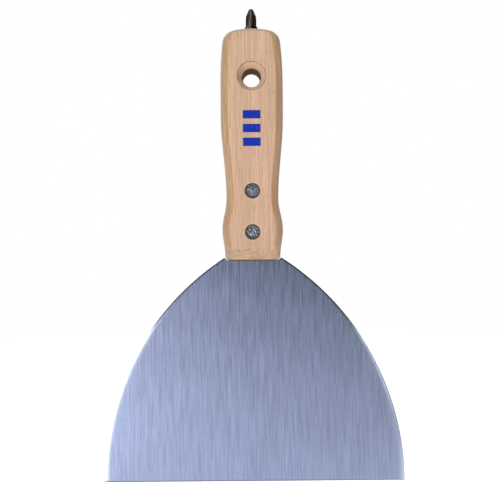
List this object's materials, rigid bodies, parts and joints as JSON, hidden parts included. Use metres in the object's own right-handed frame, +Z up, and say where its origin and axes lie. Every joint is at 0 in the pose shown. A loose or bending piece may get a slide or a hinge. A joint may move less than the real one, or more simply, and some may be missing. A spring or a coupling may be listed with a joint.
{
  "type": "drywall taping knife",
  "caption": "Flexible steel joint knife with curved shoulders, riveted into a waisted beech handle that has a hanging hole and a pull-out cross-head bit in its butt.",
  "frame": {"origin": "centre of the hanging hole, midway between the handle's two faces", "axes": "+Z up from the blade towards the butt and the bit, +X across the blade, -Y out of the front face"},
  "size_m": [0.15, 0.0176, 0.2355],
  "materials": {
    "beech": "sanded and thinly lacquered",
    "blade_steel": "brushed along its length",
    "rivet_steel": "dull, hammered face",
    "socket_steel": "turned",
    "magnet_nickel": "nickel plated",
    "bit_steel": "phosphated gunmetal"
  },
  "bodies": {
    "knife": {"handle": "beech", "blade": "blade_steel", "upper_rivet_stud": "rivet_steel", "upper_rivet_sleeve": "rivet_steel", "lower_rivet_stud": "rivet_steel", "lower_rivet_sleeve": "rivet_steel", "bit_socket": "socket_steel", "socket_magnet": "magnet_nickel"},
    "bit": {"screwdriver_bit": "bit_steel"}
  },
  "joints": [
    {"name": "bit_slide", "type": "slide", "parent": "knife", "child": "bit", "axis": [0, 0, 1], "range_m": [0, 0.013]}
  ]
}
